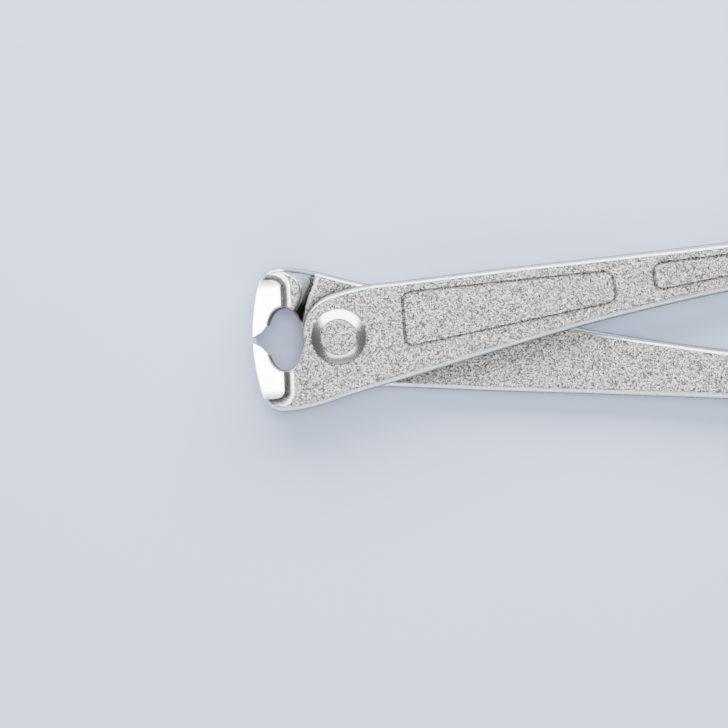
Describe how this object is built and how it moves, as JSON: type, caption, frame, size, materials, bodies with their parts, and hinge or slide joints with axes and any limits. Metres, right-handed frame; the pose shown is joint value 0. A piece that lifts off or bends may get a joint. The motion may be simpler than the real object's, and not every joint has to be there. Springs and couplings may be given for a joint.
{
  "type": "concreters' end-cutting nippers",
  "caption": "High-leverage nippers for twisting and cutting rebar tie wire: lap-jointed forged steel levers with wide end-cutting jaws, a rivet and long bare handles.",
  "frame": {"origin": "under the middle of the tool's bounding box, on the surface that it lies on, with its jaw flats at z = 0", "axes": "+X runs from the jaws to the handle ends, +Z is parallel to the rivet and points up from the surface, +Y is towards the front lever's handle"},
  "size_m": [0.3, 0.0596, 0.023],
  "materials": {
    "plated_forging": "bright zinc plating over a shot-blasted drop forging, with ground jaw flats",
    "plated_rivet": "bright zinc plating over a formed rivet head"
  },
  "bodies": {
    "front_half": {"front_lever": "plated_forging", "joint_rivet": "plated_rivet"},
    "back_half": {"back_lever": "plated_forging"}
  },
  "joints": [
    {"name": "lap_joint", "type": "hinge", "parent": "front_half", "child": "back_half", "pos_m": [-0.1267, 0, 0.0115], "axis": [0, 0, -1], "range_deg": [-3.2, 40]}
  ]
}
